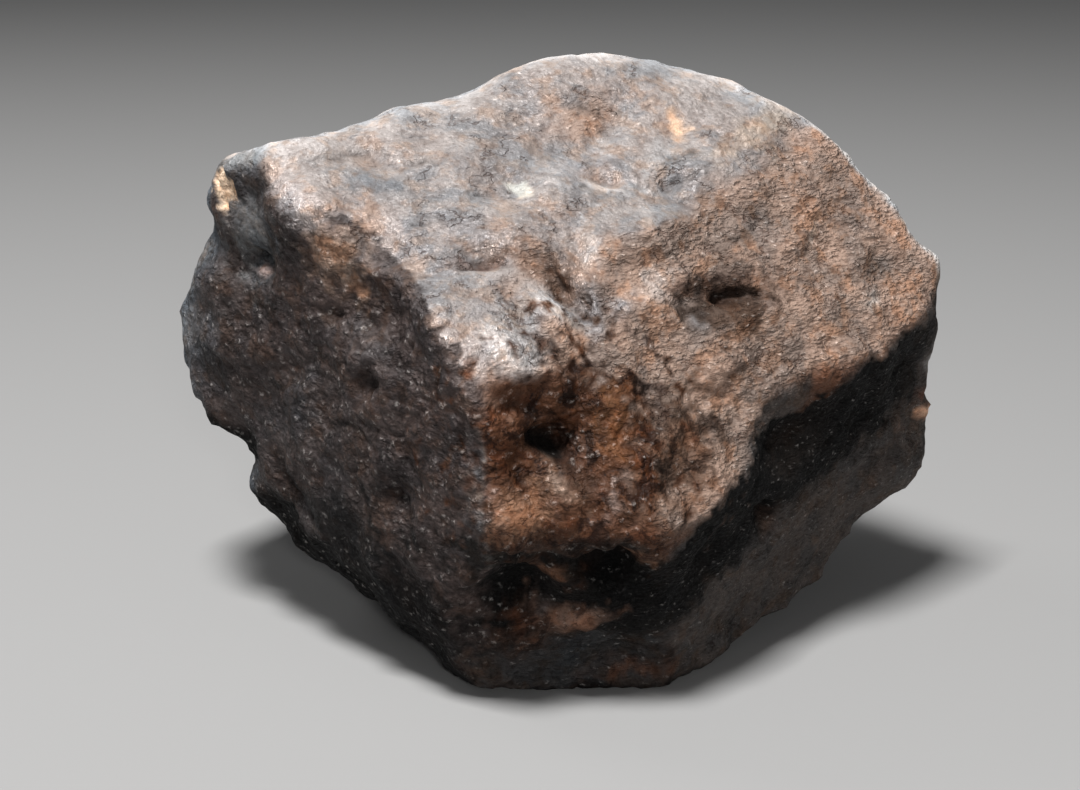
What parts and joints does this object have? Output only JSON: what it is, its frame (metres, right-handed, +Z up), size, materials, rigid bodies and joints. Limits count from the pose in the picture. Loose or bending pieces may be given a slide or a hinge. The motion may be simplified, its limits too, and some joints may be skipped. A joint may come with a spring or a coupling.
{
  "type": "chondrite meteorite",
  "caption": "A single fusion-crusted stone with blunt facets, a crisp front keel and shallow thumbprint hollows, resting on a small flat spot.",
  "frame": {"origin": "the middle of the stone's bounding box in plan, at the level of the surface it rests on", "axes": "+Z up, -Y towards the side with the keel, +X towards the pointed right end, along the stone's longest extent"},
  "size_m": [0.0776, 0.0622, 0.0563],
  "materials": {
    "fusion_crust": "matt to satin dark brown and grey melted crust, rust-stained, with small broken chips of paler stone"
  },
  "bodies": {
    "root": {"meteorite": "fusion_crust"}
  },
  "joints": []
}
